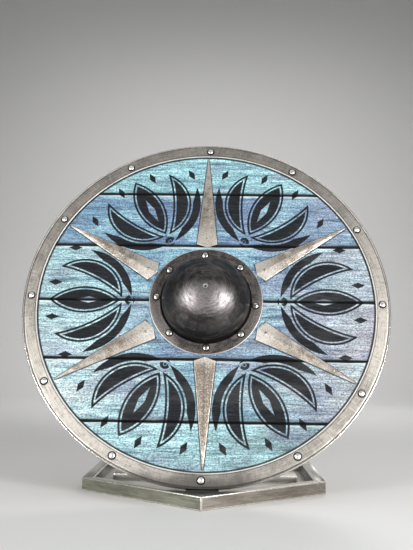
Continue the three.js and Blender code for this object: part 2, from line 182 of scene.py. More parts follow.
class Value:
    """What one node of a recipe gives out. Arithmetic on it adds further nodes to the recipe."""

    def __init__(self, recipe, socket):
        self.recipe = recipe
        self.socket = socket

    def maths(self, operation, *others):
        return self.recipe.node("Math", dict(enumerate((self, *others))), operation=operation)

    def __add__(self, other):
        return self.maths("ADD", other)

    def __sub__(self, other):
        return self.maths("SUBTRACT", other)

    def __rsub__(self, other):
        return self.recipe.node("Math", {0: other, 1: self}, operation="SUBTRACT")

    def __mul__(self, other):
        return self.maths("MULTIPLY", other)

    def __truediv__(self, other):
        return self.maths("DIVIDE", other)

    def __abs__(self):
        return self.maths("ABSOLUTE")

    def least(self, other):
        return self.maths("MINIMUM", other)

    def most(self, other):
        return self.maths("MAXIMUM", other)

    def hypot(self, other):
        return (self * self + other * other).maths("SQRT")

    def step(self, low, high, low_result=0.0, high_result=1.0):
        """A smooth change from one result to another as the value goes from low to high."""
        inputs = {"Value": self, "From Min": low, "From Max": high}
        inputs.update({"To Min": low_result, "To Max": high_result})
        return self.recipe.node("MapRange", inputs, interpolation_type="SMOOTHSTEP")

    def number_between(self, a, b):
        """A number from a to b, with this value as its factor."""
        return self.recipe.node("Mix", {0: self, 2: a, 3: b}, data_type="FLOAT")

    def between(self, a, b):
        """A colour from a to b, with this value as its factor."""
        return self.recipe.mix(self, a, b)

    def mix(self, factor, tint, blend="MIX"):
        """This colour with a share of another laid over it."""
        return self.recipe.mix(factor, self, tint, blend)

    def coats(self, *rows):
        """This colour under coats of (marks, low, high, share, tint), each where its marks near high."""
        base = self
        for marks, low, high, share, tint in rows:
            base = base.mix(marks.step(low, high, 0, share), tint)
        return base

    def ramp(self, stops):
        """A colour ramp with (place, colour) stops."""
        made = self.recipe.node("ValToRGB", {0: self})
        elements = made.socket.node.color_ramp.elements
        while len(elements) < len(stops):
            elements.new(1.0)
        for element, (place, tint) in zip(elements, stops):
            element.position = place
            element.color = (*tint, 1)
        return made

    def noise(self, scale, detail, roughness, distortion=0.0):
        inputs = {"Vector": self, "Scale": scale, "Detail": detail}
        inputs.update({"Roughness": roughness, "Distortion": distortion})
        return self.recipe.node("TexNoise", inputs)

    def marks(self, stretch, detail, roughness, distortion=0.0, shift=(0, 0, 0)):
        """Noise drawn out along the axes with a small stretch."""
        drawn = self.recipe.node("Mapping", {"Vector": self, "Scale": stretch, "Location": shift})
        return drawn.noise(1.0, detail, roughness, distortion)

    def split(self):
        """The X, Y and Z of a place."""
        made = self.recipe.node("SeparateXYZ", {0: self})
        return [Value(self.recipe, socket) for socket in made.socket.node.outputs]


class Recipe:
    """A node material under construction."""

    def __init__(self, name):
        self.material = bpy.data.materials.new(name)
        self.material.use_nodes = True
        self.tree = self.material.node_tree
        self.shader = next(node for node in self.tree.nodes if node.type == "BSDF_PRINCIPLED")

    def give(self, socket, value):
        if isinstance(value, Value):
            self.tree.links.new(value.socket, socket)
        elif socket.type == "RGBA" and len(value) == 3:
            socket.default_value = (*value, 1)
        else:
            socket.default_value = value

    def node(self, kind, inputs, output=0, **settings):
        made = self.tree.nodes.new("ShaderNode" + kind)
        for key, value in settings.items():
            setattr(made, key, value)
        for key, value in inputs.items():
            self.give(made.inputs[key], value)
        return Value(self, made.outputs[output])

    def mix(self, factor, a, b, blend="MIX"):
        return self.node("Mix", {0: factor, 6: a, 7: b}, 2, data_type="RGBA", blend_type=blend)

    def join(self, x, y, z):
        return self.node("CombineXYZ", {0: x, 1: y, 2: z})

    def place_mm(self, **turned):
        """Object coordinates in millimetres."""
        where = self.node("TexCoord", {}, "Object")
        return self.node("Mapping", {"Vector": where, "Scale": (1 / MM, 1 / MM, 1 / MM), **turned})

    def board_place_mm(self):
        """Millimetres in the board's own frame."""
        return self.place_mm(Rotation=TO_BOARD.to_euler(), Location=TO_BOARD.translation / MM)

    def bump(self, height, distance, strength=0.8):
        return self.node("Bump", {"Height": height, "Distance": distance, "Strength": strength})

    def finish(self, **inputs):
        for key, value in inputs.items():
            self.give(self.shader.inputs[key.replace("_", " ")], value)
        return self.material


def shade(tint, *shares):
    """A tint made darker or lighter, up to white, by one share or by one for each channel."""
    shares = shares if len(shares) == 3 else shares * 3
    return [min(1, channel * share) for channel, share in zip(tint, shares)]


def metal(name, tint, roughness, brushed, where="place_mm", patches=0.35, shares=(0.55, 1.15)):
    """Worked steel: a tint with darker patches, and fine marks drawn out along one direction."""
    recipe = Recipe(name)
    place = getattr(recipe, where)()
    marks = place.marks(brushed, 5, 0.65)
    speck = place.noise(0.45, 3, 0.6)
    dark, light = (shade(tint, share) for share in shares)
    base = place.noise(0.035, 4, 0.6).step(0.35, 0.65).between(dark, light)
    base = base.mix(marks.step(0.42, 0.7) * patches, light)
    base = base.coats((speck, 0.62, 0.75, 0.35, dark))
    rough = marks.step(0.3, 0.75, roughness + 0.12, roughness - 0.06)
    normal = recipe.bump(marks, 0.05 * MM)
    return recipe.finish(Base_Color=base, Metallic=1.0, Roughness=rough, Normal=normal)


# ---- The planks' stain, paint and bare back ----

# Stain of each plank from left to right, top plank first. Besides the stain's own changing tone, the light
# left ends of the third to fifth planks and their greyer right ends are painted sheen, and the dark right
# end of the bottom plank is painted shade.
PLANK_STAINS_SHEEN_AND_SHADE = (
    ((0.23, 0.4, 0.44), (0.24, 0.43, 0.47), (0.27, 0.43, 0.46)),
    ((0.13, 0.23, 0.32), (0.12, 0.19, 0.3), (0.18, 0.25, 0.33)),
    ((0.29, 0.42, 0.44), (0.1, 0.21, 0.33), (0.3, 0.34, 0.38)),
    ((0.33, 0.44, 0.46), (0.12, 0.21, 0.31), (0.27, 0.27, 0.3)),
    ((0.4, 0.48, 0.49), (0.14, 0.25, 0.31), (0.3, 0.32, 0.34)),
    ((0.29, 0.45, 0.47), (0.25, 0.4, 0.42), (0.06, 0.09, 0.1)),
)

# Black paint where its brush was dry, where it is specked, where it lies thin with a painted sheen, and
# where the grain shows.
PAINT_DRY = (0.016, 0.017, 0.019)
PAINT_SPECK = (0.05, 0.052, 0.055)
PAINT_THIN_AND_SHEEN = (0.034, 0.035, 0.036)
PAINT_GRAIN = (0.085, 0.1, 0.108)
# Painted shadow along the sides of the spikes.
SPIKE_SHADOW_TINT = (0.012, 0.014, 0.018)
# The dark of the seams, which also serves as painted shadow under the rim's inner edge.
SEAM_AND_RIM_SHADOW_TINT = (0.004, 0.005, 0.006)

# One field of the ornament lies between two spikes and mirrors about its middle. Each blade runs
# between two arcs from its foot to its tip: (across, along), with the rise of its outer and inner arc
# over the line between them, in millimetres. A blade without an inner arc ends at the middle line.
BLADES = (
    ((0, 143), (0, 262), 24.0, None),
    ((4, 140), (60, 248), 40.0, 8.0),
    ((7, 124), (92, 199), 22.0, 4.0),
)
FIELD_TURN = math.radians(60)
INLINE_DEPTH = 4.7
INLINE_HALF = 1.15
PARTING = 2.7

# Lozenges, each by its middle and its half width and height: one cut out of the front blade, two beside it.
HEART = ((0, 196), 5.5, 24)
SIDE_LOZENGES = (((31, 254), 5.5, 12), ((96, 226), 5.5, 12))

# The ringed bead at the foot of the blades.
BEAD_CENTRE = (0, 127)
BEAD_RADIUS = 8.5
BEAD_LINE = 5.2
BEAD_DOT = 6.1


def arc_centre(start, end, rise):
    """The centre and radius of the arc that rises so far over the line from start to end."""
    start, end = Vector(start), Vector(end)
    half = (end - start).length / 2
    radius = (half * half + rise * rise) / (2 * rise)
    along = (end - start).normalized()
    outwards = Vector((along.y, -along.x))
    return (start + end) / 2 - outwards * (radius - rise), radius


def away_from(across, along, centre):
    return (across - centre[0]).hypot(along - centre[1])


def blade(across, along, start, end, outer, inner):
    """How far a place lies inside a blade, in millimetres."""
    centre, radius = arc_centre(start, end, outer)
    inside = radius - away_from(across, along, centre)
    if inner is None:
        return inside
    centre, radius = arc_centre(start, end, inner)
    return inside.least(away_from(across, along, centre) - radius)


def lozenge(across, along, centre, half_width, half_height):
    """How far a place lies inside a lozenge, in millimetres."""
    share = abs(across - centre[0]) * (1 / half_width) + abs(along - centre[1]) * (1 / half_height)
    return (1.0 - share) * (1 / math.hypot(1 / half_width, 1 / half_height))


def folded(x, z, turns):
    """Across and along one of the six mirrored fields. Half a turn more moves the fields onto the spikes."""
    radius = x.hypot(z)
    turn = (x.maths("ARCTAN2", z) * (1 / FIELD_TURN) + turns).maths("FRACT")
    turn = abs(turn - 0.5) * FIELD_TURN
    return radius * turn.maths("SINE"), radius * turn.maths("COSINE")


def blades_ornament(x, z):
    """Six mirrored fields of blades between the spikes: how far inside the paint a place lies."""
    across, along = folded(x, z, 6.0)
    paint = None
    for values in BLADES:
        inside = blade(across, along, *values)
        cut = inside
        if values is not BLADES[-1]:
            cut = inside.least(abs(inside - INLINE_DEPTH) - INLINE_HALF)
        if paint is None:
            paint = cut
            covered = inside
            continue
        # The blade in front keeps a bare line round itself.
        paint = paint.most(cut.least((covered + PARTING) * -1.0))
        covered = covered.most(inside)

    paint = paint.least(lozenge(across, along, *HEART) * -1.0)
    bead = BEAD_RADIUS - away_from(across, along, BEAD_CENTRE)
    ring = bead.least(BEAD_LINE - bead).most(bead - BEAD_DOT)
    clear = (covered + PARTING) * -1.0
    for spot in (ring, *(lozenge(across, along, *values) for values in SIDE_LOZENGES)):
        paint = paint.most(spot.least(clear))
    return paint


def spike_contact_shadow(x, z):
    """Painted shadow in the corner where the wood meets the sides of a spike."""
    across, along = folded(x, z, 6.5)
    taper = (SPIKE_BASE - SPIKE_TIP) / (SPIKE_END - SPIKE_START)
    half = (SPIKE_BASE + SPIKE_START * taper) - along * taper
    gap = (across - half).most(SPIKE_START - along).most(along - SPIKE_END)
    return gap.step(2.6, 0.6, 0, 0.8)


def painted_wood(index, low, high):
    """The stained, brushed front of one plank, with its share of the painted ornament."""
    recipe = Recipe(f"painted_plank_{index + 1}")
    tints = colours()
    place = recipe.board_place_mm()
    x, _, z = place.split()
    shift = (index * 371.0, 0, index * 97.0)
    fine = place.marks((0.05, 0.2, 0.62), 6, 0.75, 0.4, shift)
    streak = place.marks((0.014, 0.2, 0.2), 5, 0.62, 0.6, shift)
    zone = place.marks((0.009, 0.1, 0.035), 4, 0.55, 0.3, shift)
    cloud = place.marks((0.012, 0.1, 0.03), 3, 0.5, 0.0, (shift[2], 0, shift[0]))
    speckle = place.marks((0.34, 0.4, 0.5), 3, 0.8, 0.0, shift)

    left, middle, right = PLANK_STAINS_SHEEN_AND_SHADE[index]
    run = x * (1 / 560) + 0.5 + (zone - 0.5) * 0.6
    base = run.ramp(((0.1, left), (0.5, middle), (0.9, right)))
    patches = cloud.step(0.5, 0.6, 0, 0.42) * x.step(100, 240, 1, 0.35)
    base = base.mix(patches, tints.stain_light)
    base = base.coats((cloud, 0.47, 0.36, 0.5, tints.stain_dusk))
    grains = ((streak, 0.14, 0.75, 0.8), (fine, 0.12, 0.85, 0.9), (speckle, 0.08, 1.0, 0.9))
    for marks, spread, lift, sink in grains:
        base = base.mix(marks.step(0.5, 0.5 + spread, 0, lift), tints.stain_lift, "MULTIPLY")
        base = base.mix(marks.step(0.48, 0.48 - spread, 0, sink), tints.stain_sink, "MULTIPLY")

    # The stain is worn pale beside each seam, more so under it, darkened by painted shadow just above it,
    # and black in the groove itself.
    wobble = (streak - 0.5) * 3.4
    from_top = high / MM - z + wobble
    from_foot = z - low / MM + wobble
    worn = from_top.step(7.5, 3.2) * fine.step(0.35, 0.55, 0.15, 0.65)
    base = base.mix(worn, tints.stain_pale)
    base = base.coats((from_foot, 8.0, 2.0, 0.6, tints.seam_shadow))

    ragged = (fine - 0.5) * 0.9
    paint = (blades_ornament(x, z) + ragged).step(-0.3, 0.35)
    black = streak.step(0.42, 0.62, 0, 0.4).between(tints.ornament, PAINT_DRY)
    black = black.coats((speckle, 0.56, 0.72, 0.45, PAINT_SPECK))
    # The paint lies thin in patches, and a painted sheen lightens it towards the lower right.
    black = black.mix(zone.step(0.46, 0.6) * (x - z).step(-60, 120, 0.15, 0.8), PAINT_THIN_AND_SHEEN)
    black = black.coats((fine, 0.52, 0.68, 0.42, PAINT_GRAIN))
    # Over the ornament, painted shadow along the sides of the spikes.
    base = base.mix(paint, black).mix(spike_contact_shadow(x, z), SPIKE_SHADOW_TINT)
    # Painted shadow in a ring under the rim's inner edge, joined with the dark of the seams.
    rim_edge_shadow = x.hypot(z).step(276.8, 278.6)
    seam_dark_and_rim_shadow = from_top.least(from_foot).step(2.7, 1.4).most(rim_edge_shadow * 0.95)
    base = base.mix(seam_dark_and_rim_shadow, SEAM_AND_RIM_SHADOW_TINT)

    rough = paint.number_between(fine.step(0.35, 0.65, 0.5, 0.34), 0.62)
    rough = seam_dark_and_rim_shadow.number_between(rough, 0.8)
    gloss = paint.number_between(0.55, 0.16)
    normal = recipe.bump(fine + speckle * 0.7, 0.5 * MM)
    return recipe.finish(Base_Color=base, Roughness=rough, Normal=normal, Specular_IOR_Level=gloss)


def bare_wood(name, stretch, tint, shift=0.0):
    """Oiled wood with its grain drawn out along the long side of the stretch."""
    recipe = Recipe(name)
    place = recipe.board_place_mm()
    offset = (shift, 0, shift)
    grain = place.marks(stretch, 6, 0.65, 0.6, offset)
    ring = place.marks([side * 0.22 for side in stretch], 3, 0.5, 1.2, offset)
    light = shade(tint, 1.75)
    base = ring.step(0.36, 0.64).between(tint, light)
    base = base.coats((grain, 0.47, 0.34, 0.85, shade(tint, 0.38)), (grain, 0.6, 0.75, 0.4, light))
    rough = grain.step(0.35, 0.65, 0.68, 0.5)
    normal = recipe.bump(grain, 0.4 * MM, 0.7)
    return recipe.finish(Base_Color=base, Roughness=rough, Normal=normal)


# ---- Mesh building ----


def merged_copy(node, to_frame=None):
    """A copy of a CAD node's mesh with its loose triangles joined."""
    shape = bmesh.new()
    shape.from_mesh(NODES[node].data)
    bmesh.ops.remove_doubles(shape, verts=shape.verts, dist=2e-6)
    if to_frame is not None:
        bmesh.ops.transform(shape, matrix=to_frame, verts=shape.verts)
    return shape


def slice_up(shape, faces, axis, low, high, pitch):
    """Cuts the faces by even planes across one axis, so that they can carry relief."""
    count = max(1, round((high - low) / pitch))
    normal = Vector([1.0 if number == axis else 0.0 for number in range(3)])
    geometry = set(faces)
    for number in range(1, count):
        place = normal * (low + (high - low) * number / count)
        parts = set(geometry)
        for face in geometry:
            parts.update(face.edges)
            parts.update(face.verts)
        cut = bmesh.ops.bisect_plane(shape, geom=list(parts), dist=1e-7, plane_co=place, plane_no=normal)
        geometry = {item for item in cut["geom"] if isinstance(item, bmesh.types.BMFace)}
    return geometry


def spun(profile, steps):
    """A closed body of revolution about the board's Y axis, from (radius, depth) points."""
    shape = bmesh.new()
    corners = [shape.verts.new((radius, depth, 0)) for radius, depth in profile]
    for start, end in zip(corners, corners[1:]):
        shape.edges.new((start, end))
    if profile[0][0] > 1e-6:
        shape.edges.new((corners[-1], corners[0]))
    bmesh.ops.spin(
        shape,
        geom=shape.verts[:] + shape.edges[:],
        cent=(0, 0, 0),
        axis=(0, 1, 0),
        angle=math.tau,
        steps=steps,
        use_merge=True,
    )
    bmesh.ops.remove_doubles(shape, verts=shape.verts, dist=1e-6)
    bmesh.ops.recalc_face_normals(shape, faces=shape.faces)
    return shape


def arc(centre, radius, start, end, steps):
    """Points of a round stretch of a profile, its angles in degrees."""
    points = []
    for number in range(steps + 1):
        angle = math.radians(start + (end - start) * number / steps)
        points.append((centre[0] + radius * math.cos(angle), centre[1] + radius * math.sin(angle)))
    return points


def straight(start, end, steps):
    """The points between two ends, with the ends left out."""
    points = []
    for number in range(1, steps):
        share = number / steps
        points.append((start[0] + (end[0] - start[0]) * share, start[1] + (end[1] - start[1]) * share))
    return points


def sharp_edges(shape, degrees):
    limit = math.radians(degrees)
    return [edge for edge in shape.edges if edge.is_manifold and edge.calc_face_angle(0) > limit]


def soften(shape, edges, width, segments=2, material=-1):
    """Rounds the edges, and joins the slivers that this leaves."""
    bmesh.ops.bevel(
        shape,
        geom=edges,
        offset=width,
        offset_type="OFFSET",
        segments=segments,
        profile=0.5,
        affect="EDGES",
        clamp_overlap=True,
        material=material,
    )
    bmesh.ops.remove_doubles(shape, verts=shape.verts, dist=0.01 * MM)


def make_piece(name, shape, materials, nodes, place=None, smooth=32):
    """Turns a mesh under construction into a finished piece that stands for its CAD nodes."""
    if place is not None:
        bmesh.ops.transform(shape, matrix=place, verts=shape.verts)
    mesh = bpy.data.meshes.new(name)
    shape.to_mesh(mesh)
    shape.free()
    for material in materials:
        mesh.materials.append(material)
    mesh.shade_smooth()
    mesh.set_sharp_from_angle(angle=math.radians(smooth))
    piece = bpy.data.objects.new(name, mesh)
    bpy.context.scene.collection.objects.link(piece)
    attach(piece, "root")
    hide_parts(*nodes)
    return piece


def wander(point, scale, strength, shift=0.0):
    """A small smooth random length, for hammered and hand-worked surfaces."""
    return strength * noise.noise(Vector(point) * scale + Vector((shift, shift * 0.7, -shift)))


def hammer(shape, limit, scale, strength, shift):
    """Dents the part of a fastener's head that lies in front of the limit."""
    for vertex in shape.verts:
        if vertex.co.y < limit:
            vertex.co.y += wander(vertex.co, scale, strength, shift)


def fastener_place(low, high):
    """The matrix that sets a turned fastener at its own place in the board."""
    centre = (low + high) / 2
    return BOARD @ Matrix.Translation((centre.x, 0, centre.z))


# ---- The operators, one for each piece or group of like pieces ----


class BuildPlanks(bpy.types.Operator):
    """Dress the six planks with brushed grain, worn seams, stain and the painted ornament"""

    bl_idname = "shield.planks"
    bl_label = "Planks"

    # How finely a front is cut up for its grain.
    pitch_along = 8 * MM
    pitch_across = 1.5 * MM

    def execute(self, context):
        for index, node in enumerate(nodes_named("plank_")):
            low, high = board_box(node)
            shape = merged_copy(node, TO_BOARD)
            front = [face for face in shape.faces if face.normal.y < -0.99]
            front = slice_up(shape, front, 0, low.x, high.x, self.pitch_along)
            front = slice_up(shape, front, 2, low.z, high.z, self.pitch_across)
            self.carve(front, low, high, index)
            for face in shape.faces:
                face.material_index = int(face.normal.y > 0.5)
            front_wood = painted_wood(index, low.z, high.z)
            tint = shade(colours().bare_wood, 1 + 0.22 * math.sin(index * 2.4))
            back = bare_wood(f"{node}_back", (0.012, 0.2, 0.35), tint, index * 143.0)
            make_piece(f"painted_{node}", shape, (front_wood, back), [node], BOARD)
        return {"FINISHED"}

    def carve(self, faces, low, high, index):
        """Presses the grain into the front, deeper towards the worn seams."""
        depth = sizes().grain_depth
        for vertex in {vertex for face in faces for vertex in face.verts}:
            x, y, z = vertex.co
            if y > low.y + 0.01 * MM:
                continue
            ridge = noise.noise(Vector((x * 11, index * 3.7, z * 420)))
            broad = noise.noise(Vector((x * 3.5, index * 5.1, z * 60)))
            from_seam = min(z - low.z, high.z - z)
            worn = max(0.0, 1 - from_seam / (7 * MM)) ** 2
            vertex.co.y += depth * (0.5 - 0.5 * ridge + 0.6 * (0.5 - 0.5 * broad) + 1.2 * worn)


class BuildRim(bpy.types.Operator):
    """Roll the steel rim, with a bead along its outer edge and a dimple under each rivet"""

    bl_idname = "shield.rim"
    bl_label = "Rim"

    def execute(self, context):
        shape = spun(self.profile(), 480)
        self.dimple(shape)
        make_piece("rolled_rim", shape, (rim_metal(),), ["rim"], BOARD, smooth=50)
        return {"FINISHED"}

    def profile(self):
        bead = sizes().rim_bead
        sheet = sizes().sheet
        lip = sheet / 2
        edge = RIM_RADIUS - sizes().rim_band + lip
        groove = RIM_RADIUS - 2 * bead - 0.9 * MM
        bend = 4.5 * MM
        back_roll = (RIM_RADIUS - 3 * MM, RIM_BACK - 3 * MM)
        points = arc((edge, lip), lip, 180, 270, 4)
        points += straight(points[-1], (groove, 0), 8)
        points += [(groove, 0), (groove + 0.5 * MM, 0.55 * MM), (groove + 0.9 * MM, 0.6 * MM)]
        points += arc((RIM_RADIUS - bead, bead - 0.5 * MM), bead, 215, 360, 8)
        points += straight(points[-1], (RIM_RADIUS, back_roll[1]), 4)
        points += arc(back_roll, 3 * MM, 0, 90, 4)
        points += straight(points[-1], (edge, RIM_BACK), 4)
        points += arc((edge, RIM_BACK - lip), lip, 90, 180, 3)
        points += [(edge, RIM_BACK - sheet), (RIM_RADIUS - bend, RIM_BACK - sheet)]
        points += [(RIM_RADIUS - sheet, RIM_BACK - bend), (RIM_RADIUS - sheet, bend)]
        return points + [(RIM_RADIUS - bend, sheet), (edge, sheet)]

    def dimple(self, shape):
        """Presses the front in under each rivet, and works it a little uneven."""
        rivets = [board_place(node) for node in nodes_named("rim_rivet_")]
        reach = 10 * MM
        for vertex in shape.verts:
            point = vertex.co
            point.y += wander(point, 14, 0.22 * MM) * (1 if point.y < RIM_BACK / 2 else 0)
            if point.y > RIM_BACK / 2:
                continue
            away = min(math.hypot(point.x - rivet.x, point.z - rivet.z) for rivet in rivets)
            if away < reach:
                point.y += 0.45 * MM * (1 - (away / reach) ** 2) ** 2


def rivet_gap(x, z, start):
    """How far a place on the board lies outside the nearest rivet's head, in millimetres."""
    recipe = x.recipe
    flat = recipe.join(x, 0.0, z)
    nearest = None
    for node in nodes_named(start):
        low, high = board_box(node)
        centre = (low + high) / 2 / MM
        inputs = {0: flat, 1: (centre.x, 0, centre.z)}
        away = recipe.node("VectorMath", inputs, "Value", operation="DISTANCE")
        nearest = away if nearest is None else nearest.least(away)
    # The heads are all alike, so the last one gives their radius.
    head_radius = (high.x - low.x) / 2 / MM
    return nearest - head_radius


def turned_marks(x, z, radius, run, around, outwards, detail, roughness):
    """Marks drawn out round the board's middle, as a turning tool leaves them."""
    rings = x.recipe.join(x / radius * around, z / radius * around, run * outwards)
    return rings.noise(1.0, detail, roughness)


RIM_GROOVE_SHADE = (0.05, 0.047, 0.043)


def rim_metal():
    """Brushed rim steel, mottled, with marks along and across the band, and painted highlights and shade."""
    recipe = Recipe("rim_metal")
    tint = colours().rim_steel
    edge = RIM_RADIUS / MM
    inner = (RIM_RADIUS - sizes().rim_band) / MM
    place = recipe.board_place_mm()
    x, _, z = place.split()
    radius = x.hypot(z)
    ring_marks = turned_marks(x, z, radius, radius, 14, 0.7, 5, 0.7)
    cross_marks = turned_marks(x, z, radius, radius, 110, 0.09, 5, 0.7)
    cloud = place.noise(0.025, 4, 0.6)
    blotch = place.noise(0.13, 5, 0.7)
    speckle = place.noise(0.5, 3, 0.75)
    dark = shade(tint, 0.4)
    light = shade(tint, 1.6)
    base = cloud.step(0.38, 0.62).between(shade(tint, 0.72), tint)
    # Painted highlights brighten the rim at its right and at its lower left.
    right = x.step(215, 290) * z.step(-170, -60)
    slant = (x + z) * -math.sqrt(0.5)
    base = base.mix(right.most(slant.step(205, 285, 0, 0.8)) * 0.75, light)
    base = base.coats(
        (cross_marks, 0.52, 0.66, 0.55, light),
        (cross_marks, 0.47, 0.36, 0.4, dark),
        (ring_marks, 0.52, 0.66, 0.5, light),
        (ring_marks, 0.48, 0.36, 0.6, dark),
        (blotch, 0.54, 0.68, 0.55, dark),
        (speckle, 0.56, 0.7, 0.5, light),
        (speckle, 0.44, 0.32, 0.4, dark),
    )
    # Painted shade in the groove and a painted highlight on the bead outside, painted shade in the groove
    # and a painted highlight on the lip inside, a painted dark reflection towards the foot, and painted
    # contact shadow round the rivets.
    base = base.coats(
        (abs(radius - (edge - 3.6)), 0.9, 0.3, 0.75, RIM_GROOVE_SHADE),
        (radius, edge - 2.6, edge - 1.6, 0.9, (0.84, 0.82, 0.78)),
        (abs(radius - (inner + 3.0)), 0.8, 0.3, 0.7, RIM_GROOVE_SHADE),
        (radius, inner + 2.2, inner + 1.4, 0.95, (0.9, 0.88, 0.84)),
        (z + cloud * 30, -inner + 22, -inner - 2, 0.85, shade(tint, 0.27)),
        (rivet_gap(x, z, "rim_rivet_"), 2.0, 0.6, 0.9, (0.03, 0.028, 0.026)),
    )
    rough = ring_marks.step(0.35, 0.7, 0.58, 0.42)
    rough = radius.step(edge - 2.6, edge - 1.6).number_between(rough, 0.25)
    normal = recipe.bump(cross_marks * 0.6 + ring_marks + speckle * 0.5, 0.16 * MM)
    return recipe.finish(Base_Color=base, Metallic=1.0, Roughness=rough, Normal=normal)


class BuildBoss(bpy.types.Operator):
    """Spin the hollow dome of the boss with its flange, foot groove and pip"""

    bl_idname = "shield.boss"
    bl_label = "Boss"

    def execute(self, context):
        shape = spun(self.profile(), 256)
        for vertex in shape.verts:
            dent = wander(vertex.co, 26, 0.3 * MM, 2.0)
            vertex.co.y += dent * min(1.0, abs(vertex.co.y) / (8 * MM))
        make_piece("spun_boss", shape, (boss_metal(),), ["boss"], BOARD, smooth=40)
        return {"FINISHED"}

    def dome(self, radius, foot, height, steps):
        points = []
        for number in range(steps):
            angle = number / steps * math.pi / 2
            points.append((radius * math.cos(angle) ** 0.94, foot - height * math.sin(angle)))
        return points

    def profile(self):
        sheet = sizes().sheet
        dome = sizes().boss_dome
        back = BOSS_HIGH.y
        front = back - 1.8 * MM
        top = BOSS_LOW.y
        lip = 0.9 * MM
        foot = front - 1.3 * MM
        points = [(0, top + 0.9 * MM), (1.6 * MM, top + 0.75 * MM), (3.0 * MM, top + 0.2 * MM)]
        points += reversed([point for point in self.dome(dome, foot, foot - top, 48) if point[0] > 4 * MM])
        points += [(dome + 0.5 * MM, foot + 0.9 * MM), (dome + 1.1 * MM, front + 0.5 * MM)]
        points += [(dome + 1.7 * MM, front + 0.45 * MM), (dome + 2.3 * MM, front - 0.15 * MM)]
        points += [(dome + 3.3 * MM, front - 0.2 * MM), (dome + 4.4 * MM, front)]
        points += straight(points[-1], (BOSS_RADIUS - lip, front), 5)
        points += arc((BOSS_RADIUS - lip, front + lip), lip, 270, 450, 6)
        points += [(dome - sheet + 0.6 * MM, back)]
        inner = self.dome(dome - sheet, front, front - top - sheet, 24)
        return points + inner + [(0, top + sheet + 0.9 * MM)]


BOSS_PAINTED_SHADE = (0.012, 0.011, 0.012)
FLANGE_DARK = (0.06, 0.053, 0.053)
FLANGE_LIGHT = (0.16, 0.14, 0.13)
FLANGE_PAINTED_HIGHLIGHT = (0.5, 0.46, 0.42)


def boss_metal():
    """Gunmetal with fine rings left by spinning, a grainy flange and a pip, with painted highlights and
    painted shade.
    """
    recipe = Recipe("boss_metal")
    tint = colours().boss_steel
    place = recipe.board_place_mm()
    x, depth, z = place.split()
    radius = x.hypot(z)
    off_centre = radius.most(0.5)
    run = radius - depth * 0.8
    ring_marks = turned_marks(x, z, off_centre, run, 3.2, 0.62, 6, 0.72)
    coarse_marks = turned_marks(x, z, off_centre, run, 1.3, 0.17, 4, 0.6)
    scuffs = place.marks((0.13, 0.3, 0.07), 5, 0.7, 0.8)
    speckle = place.noise(0.55, 4, 0.75)
    rust = place.noise(0.06, 4, 0.6)
    light = shade(tint, 2.6)
    base = coarse_marks.step(0.4, 0.62).between(shade(tint, 0.6), shade(tint, 1.35))
    base = base.coats(
        (ring_marks, 0.51, 0.66, 0.75, light),
        (ring_marks, 0.48, 0.36, 0.8, shade(tint, 0.35)),
        (scuffs, 0.56, 0.72, 0.4, light),
    )
    # A painted highlight round the crown, centred a little below its apex, and painted shade over the rest
    # of the dome.
    painted_highlight_crown = base.mix(ring_marks.step(0.35, 0.62, 0.25, 0.8), light)
    reach = (x * (1 / 46)).hypot((z + 17) * (1 / 27)) + (scuffs - 0.5) * 0.8
    base = reach.step(1.25, 0.6).between(base.mix(0.5, BOSS_PAINTED_SHADE), painted_highlight_crown)

    flange = radius.step(75.0, 77.5)
    plate = rust.step(0.42, 0.6).between(FLANGE_DARK, FLANGE_LIGHT)
    plate = plate.coats(
        (ring_marks, 0.5, 0.64, 0.6, (0.28, 0.25, 0.235)),
        (speckle, 0.53, 0.64, 0.55, (0.34, 0.31, 0.29)),
        (speckle, 0.46, 0.34, 0.5, (0.04, 0.036, 0.036)),
    )
    # Painted highlights on the flange at its lower left and at its right.
    left = x * -0.87 + z * -0.49
    right = x * 0.97 + z * -0.24
    painted_highlight = left.step(66, 88, 0, 0.55).most(right.step(70, 88, 0, 0.4))
    plate = plate.mix(painted_highlight * speckle.step(0.38, 0.55, 0.4, 1), FLANGE_PAINTED_HIGHLIGHT)
    # Painted shadow round the rivets, a painted highlight along the flange's edge, painted shade in the
    # groove at the dome's foot, and a painted highlight ring round the pip with painted shade in its pit.
    base = base.mix(flange, plate).coats(
        (rivet_gap(x, z, "boss_rivet_"), 1.6, 0.4, 0.85, (0.015, 0.014, 0.014)),
        (radius, 93.2, 94.0, 0.9, (0.8, 0.78, 0.74)),
        (abs(radius - 75.2), 2.0, 0.8, 0.85, (0.02, 0.02, 0.02)),
        (abs(radius - 3.2), 1.2, 0.4, 0.7, (0.55, 0.54, 0.52)),
        (radius, 2.2, 1.0, 0.8, (0.05, 0.05, 0.05)),
    )
    rough = flange.number_between(ring_marks.step(0.35, 0.7, 0.5, 0.36), 0.48)
    normal = recipe.bump(ring_marks + scuffs * 0.5 + speckle * flange * 0.8, 0.24 * MM)
    return recipe.finish(Base_Color=base, Metallic=1.0, Roughness=rough, Normal=normal)


